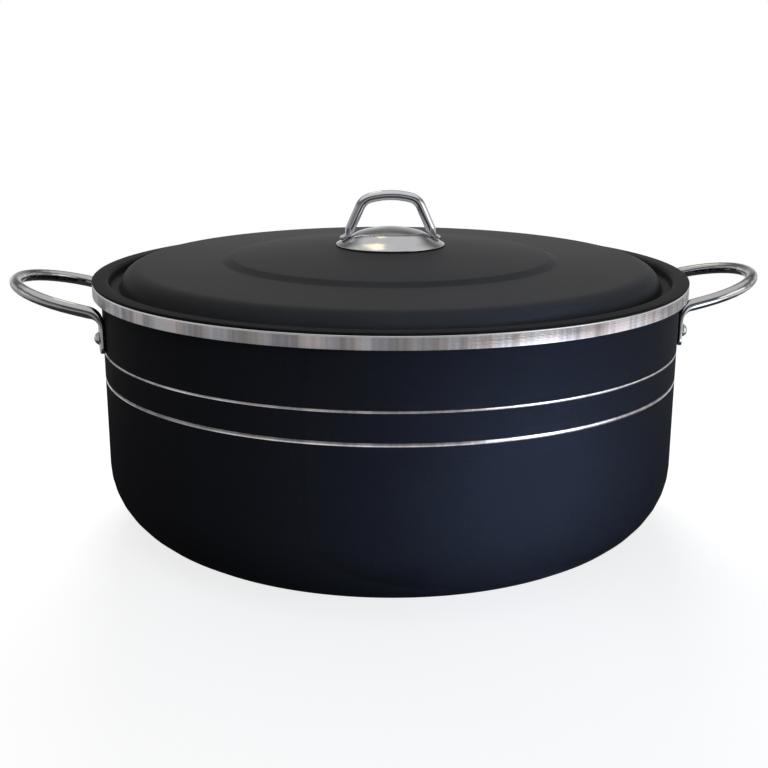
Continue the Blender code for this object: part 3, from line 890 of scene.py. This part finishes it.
def colour_mix(tree, share, first, second):
    """A colour that goes from the first to the second, each a socket or three numbers."""
    first, second = (
        colour if isinstance(colour, bpy.types.NodeSocket) else (*colour, 1) for colour in (first, second)
    )
    made = node(tree, "ShaderNodeMix", {"Factor": share, "A": first, "B": second}, data_type="RGBA")
    return next(entry for entry in made.outputs if entry.enabled)


def bumped(tree, height, strength, distance):
    values = {"Height": height, "Strength": strength, "Distance": distance}
    return node(tree, "ShaderNodeBump", values).outputs[0]


def stone_coating(name, dark, light, roughness, shine, unevenness, painted_shade_tone=1.0):
    """Sprayed stone-effect coating: satin black with fine paler grains and a faint orange peel.

    Below 1, the last argument is the share of its tone that the coat keeps from the lid's trough outwards:
    painted shade for the trough and the flange.
    """
    material, tree, shader = new_finish(name, IOR=COATING_IOR, Specular_IOR_Level=shine)
    place = object_place(tree)
    grains = node(tree, "ShaderNodeTexVoronoi", {"Vector": place, "Scale": GRAIN_SCALE}).outputs
    grain_size = ranged(tree, grains["Distance"], *GRAIN_SPAN, 1.0, 0.0)
    grain_kind = node(tree, "ShaderNodeSeparateColor", {0: grains["Color"]}).outputs[0]
    speck = times(tree, grain_size, ranged(tree, grain_kind, *PALE_GRAIN_SPAN))
    cloud = ranged(tree, noise(tree, place, scale=14.0, detail=4.0, roughness=0.6), *CLOUD_SPAN)
    base = colour_mix(tree, cloud, dark, [channel * (1 + CLOUD_LIFT * unevenness) for channel in dark])
    base = colour_mix(tree, times(tree, speck, GRAIN_STRENGTH), base, light)
    # Painted shade: the coat darkens from the lid's trough outwards, for the shade in the trough and on the
    # flange
    if painted_shade_tone < 1:
        radius = vector_node(tree, "LENGTH", flattened(tree, place))
        painted_shade = ranged(tree, radius, DOME_ROOT_RADIUS, TROUGH_RADIUS, 0.0, 1 - painted_shade_tone)
        base = colour_mix(tree, painted_shade, base, BLACK)
    patches = noise(tree, place, scale=60.0, detail=3.0)
    rough = ranged(tree, patches, *MID_SPAN, roughness - unevenness, roughness + unevenness)
    peel = plus(tree, noise(tree, place, scale=700.0), times(tree, speck, PEEL_GRAIN_RISE))
    normal = bumped(tree, peel, strength=0.22, distance=0.00025)
    link_looks(tree, shader, Base_Color=base, Roughness=rough, Normal=normal)
    return material


def turned_metal(name, colour, roughness, painted_streaks):
    """Aluminium bared on the lathe: fine lines round Z, upright blocks of painted reflection and a painted
    highlight along the upper edge.
    """
    material, tree, shader = new_finish(name, Metallic=1.0, Anisotropic=0.75)
    place = object_place(tree)
    parts = separated(tree, place)
    lines = vector_node(tree, "MULTIPLY", place, LATHE_LINE_SCALES)
    lines = noise(tree, lines, scale=1.0, detail=3.0, roughness=0.6)
    waves = noise(tree, flattened(tree, place), scale=26.0, detail=3.0, roughness=0.55)
    angle = math_node(tree, "ARCTAN2", parts["Y"], parts["X"])
    # Painted reflection: upright darker and lighter blocks round the band, standing in for the room mirrored
    # in it
    painted_reflection_and_lines = 0.0
    for blocks, span, weight in PAINTED_REFLECTION_BLOCKS:
        block = ranged(tree, noise_round(tree, angle, blocks, 1.0), *span)
        painted_reflection_and_lines = math_node(tree, "MULTIPLY_ADD", block, weight, painted_reflection_and_lines)
    painted_reflection_and_lines = ranged(tree, painted_reflection_and_lines, 0.0, FULL_PAINTED_REFLECTION, 1 - painted_streaks, 1.0)
    painted_reflection_and_lines = times(tree, painted_reflection_and_lines, ranged(tree, lines, *MID_SPAN, LATHE_LINE_TONE, 1.0))
    tint = ranged(tree, noise_round(tree, angle, TINT_BLOCKS, 0.0), *TINT_SPAN)
    # Painted highlight: a paler colour along the collar's upper edge
    edge = ranged(tree, parts["Z"], *[POT_HEIGHT - drop for drop in PAINTED_EDGE_HIGHLIGHT_DROPS])
    warm = [channel * factor for channel, factor in zip(colour, WARM_TINT)]
    cool = [channel * factor for channel, factor in zip(colour, COOL_TINT)]
    base = colour_mix(tree, painted_reflection_and_lines, BLACK, colour_mix(tree, tint, warm, cool))
    base = colour_mix(tree, edge, base, PAINTED_EDGE_HIGHLIGHT)
    rough = ranged(tree, lines, *MID_SPAN, roughness - 0.05, roughness + 0.06)
    height = plus(tree, times(tree, lines, LATHE_LINE_RISE), waves)
    normal = bumped(tree, height, strength=0.25, distance=0.0006)
    tangent = node(tree, "ShaderNodeTangent", direction_type="RADIAL", axis="Z").outputs[0]
    link_looks(tree, shader, Base_Color=base, Roughness=rough, Normal=normal, Tangent=tangent)
    return material


def chrome(name, colour, roughness, ripple_strength):
    """Bright plating over bent or pressed steel, with a faint grain and a few soft smudges."""
    material, tree, shader = new_finish(name, Metallic=1.0)
    place = object_place(tree)
    smudge = ranged(tree, noise(tree, place, scale=45.0, detail=4.0, roughness=0.6), *SMUDGE_SPAN)
    base = colour_mix(tree, smudge, colour, [channel * SMUDGE_TONE for channel in colour])
    rough = plus(tree, roughness, times(tree, smudge, SMUDGE_ROUGHNESS))
    grain = times(tree, noise(tree, place, scale=900.0), CHROME_GRAIN_RISE)
    ripple = plus(tree, noise(tree, place, scale=90.0), grain)
    normal = bumped(tree, ripple, ripple_strength, distance=0.0006)
    link_looks(tree, shader, Base_Color=base, Roughness=rough, Normal=normal)
    return material


def rivet_metal(name):
    """Soft aluminium rivet, tumbled bright and a little marked by the setting tool."""
    material, tree, shader = new_finish(name, Metallic=1.0)
    marks = noise(tree, object_place(tree), scale=420.0, detail=3.0, roughness=0.6)
    marks = ranged(tree, marks, 0.35, 0.65)
    base = colour_mix(tree, marks, (0.60, 0.60, 0.60), (0.78, 0.78, 0.79))
    rough = ranged(tree, marks, 0.0, 1.0, 0.36, 0.24)
    normal = bumped(tree, marks, strength=0.12, distance=0.0002)
    link_looks(tree, shader, Base_Color=base, Roughness=rough, Normal=normal)
    return material


def zinc_plate(name):
    """Plated steel of the screw, washer and nut, with a fine grain."""
    material, tree, shader = new_finish(name, Metallic=1.0)
    grain = noise(tree, object_place(tree), scale=600.0, detail=3.0, roughness=0.6)
    base = colour_mix(tree, grain, (0.46, 0.46, 0.45), (0.62, 0.62, 0.60))
    rough = ranged(tree, grain, *MID_SPAN, 0.26, 0.40)
    normal = bumped(tree, grain, strength=0.15, distance=0.0002)
    link_looks(tree, shader, Base_Color=base, Roughness=rough, Normal=normal)
    return material


# The object's pieces


TURNED = turned_tree()
DRAWN_ROD = drawn_rod_tree()
SET_PIECES = set_pieces_tree()
CROSS_RECESS = cross_recess_tree()

pot_coating = stone_coating(
    "pot_stone_coating",
    dark=(0.0175, 0.0178, 0.0205),
    light=(0.060, 0.061, 0.065),
    roughness=0.50,
    shine=0.012,
    unevenness=0.02,
)
# The lid's coat takes painted shade from its trough outwards
lid_coating = stone_coating(
    "lid_stone_coating",
    dark=(0.0425, 0.0425, 0.0435),
    light=(0.086, 0.086, 0.088),
    roughness=0.42,
    shine=0.008,
    unevenness=0.006,
    painted_shade_tone=0.45,
)
band_metal = turned_metal("machined_aluminium", (0.72, 0.70, 0.71), roughness=0.20, painted_streaks=0.55)
stripe_metal = turned_metal("stripe_aluminium", (0.88, 0.88, 0.88), roughness=0.14, painted_streaks=0.40)
# Painted light: one chrome in two tones, darker on the side handles and lighter on the lid handle, for how
# light falls on each
handle_chrome = chrome("handle_chrome", (0.50, 0.50, 0.51), roughness=0.06, ripple_strength=0.08)
lid_handle_chrome = chrome("lid_handle_chrome", (0.66, 0.67, 0.70), roughness=0.06, ripple_strength=0.08)
knob_chrome = chrome("knob_chrome", (0.56, 0.56, 0.57), roughness=0.15, ripple_strength=0.02)
rivet_aluminium = rivet_metal("rivet_aluminium")
fastener_zinc = zinc_plate("fastener_zinc")

pot = turned("pot_turned", pot_outline(), POT_STEPS, pot_coating, band_metal, stripe_metal)
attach(pot, "pot")
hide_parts("pot_body")

side_path, side_thin_way = side_handle_path()
side_tab_sizes = (TAB_WIDTH, TAB_THICKNESS, TAB_END_DROP - HANDLE_ROOT_DROP - HANDLE_BEND)
side_handle_sizes = rod_inputs(ROD_DIAMETER, side_tab_sizes, TAB_MORPH, TAB_END_RADIUS, handle_chrome)
for side, turn in (("right", 0), ("left", math.pi)):
    side_handle = drawn_rod(f"{side}_rod_handle", side_path, side_thin_way, "Y", turn, side_handle_sizes)
    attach(side_handle, "pot")
    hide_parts(f"side_handle_{side}")

rivet_places = []
for turn in (0, math.pi):
    for sign in (-1, 1):
        angle = turn + sign * wall_angle()
        outward = Vector((math.cos(angle), math.sin(angle), 0))
        rivet_places.append((outward * WALL_RADIUS + Vector((0, 0, POT_HEIGHT - RIVET_DROP)), outward))
rivet_pattern = turned("rivet_pattern", rivet_outline(), RIVET_STEPS, rivet_aluminium)
rivets = set_pieces("handle_rivets", rivet_pattern, rivet_places, rivet_aluminium)
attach(rivets, "pot")
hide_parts("rivet_left_front", "rivet_left_back", "rivet_right_front", "rivet_right_back")

lid = turned("lid_pressed", lid_outline(), POT_STEPS, lid_coating)
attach(lid, "lid")
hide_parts("lid_shell")

knob = turned("knob_dome", knob_outline(), FITTING_STEPS, knob_chrome)
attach(knob, "lid")
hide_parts("lid_knob_base")

lid_path, lid_thin_way = lid_handle_path()
foot_sizes = (FOOT_WIDTH, FOOT_THICKNESS, FOOT_LENGTH / 2)
lid_handle_sizes = rod_inputs(LID_ROD_DIAMETER, foot_sizes, FOOT_MORPH, FOOT_END_RADIUS, lid_handle_chrome)
grip = drawn_rod("lid_rod_handle", lid_path, lid_thin_way, "X", 0, lid_handle_sizes)
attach(grip, "lid")
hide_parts("lid_handle")

screw_line, screw_bottom = screw_outline()
screw = turned("lid_screw_round", screw_line, FITTING_STEPS, fastener_zinc)
recess_sizes = {
    "Arm width": RECESS_WIDTH,
    "Arm length": RECESS_LENGTH,
    "Depth": RECESS_DEPTH,
    "Head height": screw_bottom,
    "Finish": fastener_zinc,
}
apply_tree(screw, CROSS_RECESS, recess_sizes)
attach(screw, "lid")
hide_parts("lid_screw")

washer = turned("lid_washer_round", washer_outline(), FITTING_STEPS, fastener_zinc)
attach(washer, "lid")
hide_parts("lid_washer")

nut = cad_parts["lid_nut"].data
nut.materials.clear()
nut.materials.append(fastener_zinc)


# Floor, light and camera

WHITE = (1, 1, 1, 1)

# Floor: as the camera sees it, and as metal and the coating mirror it with a painted shadow close by and
# painted patches of light, each (place, reach, level)
FLOOR_RADIUS = 6.0
FLOOR_SIDES = 64
FLOOR_GREY = (0.32, 0.32, 0.32, 1)
FLOOR_LIFT = 0.80
SHADOW_SPAN = (0.30, 0.66)
# Painted shadow in the mirrored floor: the distances over which it goes from dark to pale, and its two levels
MIRRORED_SHADOW_SPAN = (0.44, 0.60)
MIRRORED_SHADOW_LEVELS = (0.05, 0.45)
WINDOW_LIGHTS = (((0.42, -0.40, 0.0), 0.27, 3.0), ((0.80, -0.11, 0.0), 0.42, 1.0))
WINDOW_LIGHT_CORE = 0.08
SKY_LIGHT_PLACE = (0.29, -0.31, 0.0)
SKY_LIGHT_CORE = 0.03
SKY_LIGHT_REACH = 0.18
SKY_LIGHT_LEVEL = 6.0
SKY_LIGHT_BLUE = (0.38, 0.60, 1.0, 1)

# World. A span is of a direction's part along Z or Y, or along the way to the window
STUDIO_WHITE = (0.97, 0.98, 1.0, 1)
STUDIO_SPAN = (-0.1, 0.9)
STUDIO_LEVELS = (0.05, 0.28)
ROOM_SPAN = (0.10, 0.45)
ROOM_TOP_LEVEL = 0.25
CAMERA_SIDE_SPAN = (-0.9, 0.1)
CAMERA_SIDE_LEVEL = 0.30
PANEL_SPAN = (0.40, 0.62)
PANEL_LEVELS = (0.55, 1.10)
CEILING_SPAN = (0.48, 0.72)
CEILING_LEVEL = 0.85
WINDOW_WAY = (0.88, -0.47, 0.0)
WINDOW_SPAN = (0.82, 0.94)
WINDOW_LEVEL = 1.9

# Lamps: name, place, target, size, watts, colour, whether metal mirrors it, and the beam's angle in degrees
BODY_MIDDLE = (0, 0, 0.1)
LID_TOP = (0, 0, 0.2)
BODY_RIGHT_FRONT = (0.070, -0.187, 0.082)
LAMPS = (
    ("overhead_softbox", (-0.35, 0.15, 1.7), BODY_MIDDLE, (1.4, 1.2), 5, (1.0, 0.99, 0.97), False, 180),
    ("back_softbox", (0.1, 2.0, 1.3), BODY_MIDDLE, (1.3, 0.9), 58, (1.0, 0.99, 0.97), False, 180),
    ("left_softbox", (-1.5, -0.2, 1.3), BODY_MIDDLE, (0.9, 0.9), 0.7, (1.0, 0.98, 0.95), False, 180),
    ("right_softbox", (1.25, -1.45, 0.42), BODY_MIDDLE, (1.4, 0.8), 18, (0.57, 0.71, 1.0), False, 180),
    ("window_lamp", (0.95, -1.40, 0.30), BODY_RIGHT_FRONT, (0.1, 0.1), 0.09, (0.40, 0.60, 1.0), False, 8),
    ("warm_ceiling_lamp", (-0.20, 1.10, 1.65), LID_TOP, (0.24, 0.62), 0.75, (1.0, 0.80, 0.45), True, 180),
)


def ray_kinds(tree):
    """1 where the ray is the camera's, and 1 where it is what metal or the coating mirrors."""
    path = tree.nodes.new("ShaderNodeLightPath").outputs
    return path["Is Camera Ray"], larger(tree, path["Is Glossy Ray"], path["Is Transmission Ray"])


def emission(tree, colour, strength):
    return node(tree, "ShaderNodeEmission", {"Color": colour, "Strength": strength}).outputs[0]


def background(tree, colour, strength):
    return node(tree, "ShaderNodeBackground", {"Color": colour, "Strength": strength}).outputs[0]


def chosen_shader(tree, share, first, second):
    return node(tree, "ShaderNodeMixShader", {0: share, 1: first, 2: second}).outputs[0]


def added_shaders(tree, first, second):
    return node(tree, "ShaderNodeAddShader", {0: first, 1: second}).outputs[0]


def patch_level(tree, middle, core, reach, level):
    """How bright a round patch of light on the floor is here: full in its core, and none past its reach."""
    distance = vector_node(tree, "DISTANCE", object_place(tree), middle)
    return ranged(tree, distance, core, reach, level, 0.0)


def floor_finish():
    """Pale floor: the pot's shadow close by and plain white further off; where metal mirrors it, a painted
    shadow close by and painted patches of light.
    """
    material = bpy.data.materials.new("pale_floor")
    material.use_nodes = True
    tree = material.node_tree
    tree.nodes.clear()
    camera_ray, mirrored_ray = ray_kinds(tree)
    distance = vector_node(tree, "LENGTH", object_place(tree))

    # Seen by the camera, and lighting the object
    diffuse = node(tree, "ShaderNodeBsdfDiffuse", {"Color": FLOOR_GREY}).outputs[0]
    near = added_shaders(tree, diffuse, emission(tree, WHITE, times(tree, camera_ray, FLOOR_LIFT)))
    far = times(tree, camera_ray, ranged(tree, distance, *SHADOW_SPAN))
    seen = chosen_shader(tree, far, near, emission(tree, WHITE, 1.0))

    # Mirrored: a painted shadow, dark close by and pale further off, with painted patches of window and sky
    # light at the right front
    level = ranged(tree, distance, *MIRRORED_SHADOW_SPAN, *MIRRORED_SHADOW_LEVELS)
    for place, reach, window_level in WINDOW_LIGHTS:
        level = plus(tree, level, patch_level(tree, place, WINDOW_LIGHT_CORE, reach, window_level))
    sky = patch_level(tree, SKY_LIGHT_PLACE, SKY_LIGHT_CORE, SKY_LIGHT_REACH, SKY_LIGHT_LEVEL)
    mirrored = added_shaders(tree, emission(tree, WHITE, level), emission(tree, SKY_LIGHT_BLUE, sky))
    node(tree, "ShaderNodeOutputMaterial", {"Surface": chosen_shader(tree, mirrored_ray, seen, mirrored)})
    return material


def studio_world():
    """Soft light for the object. The backdrop is white to the camera.

    Mirrored in metal it is white at the horizon, with the room, its ceiling and its window above that.
    """
    world = bpy.data.worlds.new("studio")
    world.use_nodes = True
    tree = world.node_tree
    tree.nodes.clear()
    way = tree.nodes.new("ShaderNodeTexCoord").outputs["Generated"]
    parts = separated(tree, way)
    studio = background(tree, STUDIO_WHITE, ranged(tree, parts["Z"], *STUDIO_SPAN, *STUDIO_LEVELS))
    wall = ranged(tree, parts["Z"], *ROOM_SPAN, 1.0, ROOM_TOP_LEVEL)
    camera_side = ranged(tree, parts["Y"], *CAMERA_SIDE_SPAN, CAMERA_SIDE_LEVEL, 1.0)
    panels = noise(tree, flattened(tree, way), scale=2.3, detail=3.0, roughness=0.6)
    panels = ranged(tree, panels, *PANEL_SPAN, *PANEL_LEVELS)
    room = times(tree, times(tree, wall, camera_side), panels)
    room = larger(tree, room, ranged(tree, parts["Z"], *CEILING_SPAN, 0.0, CEILING_LEVEL))
    window = ranged(tree, vector_node(tree, "DOT_PRODUCT", way, WINDOW_WAY), *WINDOW_SPAN, 0.0, WINDOW_LEVEL)
    room = larger(tree, room, window)
    camera_ray, mirrored_ray = ray_kinds(tree)
    backdrop = background(tree, WHITE, larger(tree, camera_ray, room))
    shown = chosen_shader(tree, larger(tree, camera_ray, mirrored_ray), studio, backdrop)
    node(tree, "ShaderNodeOutputWorld", {"Surface": shown})
    return world


def soft_lamp(name, place, target, size, power, colour, mirrored, beam):
    """A rectangular lamp. One that isn't mirrored lights the object without showing in its metal."""
    lamp = bpy.data.lights.new(name, "AREA")
    lamp.shape = "RECTANGLE"
    lamp.size, lamp.size_y = size
    lamp.energy = power
    lamp.color = colour
    lamp.spread = math.radians(beam)
    holder = bpy.data.objects.new(name, lamp)
    holder.visible_glossy = mirrored
    holder.location = place
    holder.rotation_euler = (Vector(target) - Vector(place)).to_track_quat("-Z", "Y").to_euler()
    bpy.context.scene.collection.objects.link(holder)


floor_mesh = bpy.data.meshes.new("floor")
turns = [math.tau * step / FLOOR_SIDES for step in range(FLOOR_SIDES)]
floor_points = [(FLOOR_RADIUS * math.cos(turn), FLOOR_RADIUS * math.sin(turn), 0) for turn in turns]
floor_mesh.from_pydata(floor_points, [], [range(FLOOR_SIDES)])
floor_mesh.materials.append(floor_finish())
floor = bpy.data.objects.new("floor", floor_mesh)
bpy.context.scene.collection.objects.link(floor)

bpy.context.scene.world = studio_world()
for lamp_row in LAMPS:
    soft_lamp(*lamp_row)

forward = Vector((
    -math.sin(CAMERA_AZIMUTH) * math.cos(CAMERA_PITCH),
    math.cos(CAMERA_AZIMUTH) * math.cos(CAMERA_PITCH),
    -math.sin(CAMERA_PITCH),
))
level_right = Vector((math.cos(CAMERA_AZIMUTH), math.sin(CAMERA_AZIMUTH), 0))
level_up = level_right.cross(forward)
right = level_right * math.cos(CAMERA_ROLL) + level_up * math.sin(CAMERA_ROLL)
up = level_up * math.cos(CAMERA_ROLL) - level_right * math.sin(CAMERA_ROLL)
place = level_right * CAMERA_ASIDE + Vector((0, 0, CAMERA_AIM_HEIGHT)) - forward * CAMERA_DISTANCE
camera_data = bpy.data.cameras.new("camera")
camera_data.lens = LENS
camera_data.sensor_width = SENSOR
camera_data.clip_start = CLIP_START
camera = bpy.data.objects.new("camera", camera_data)
camera.matrix_world = Matrix.Translation(place) @ Matrix((right, up, -forward)).transposed().to_4x4()
bpy.context.scene.collection.objects.link(camera)
bpy.context.scene.camera = camera
bpy.context.scene.view_settings.view_transform = "Standard"
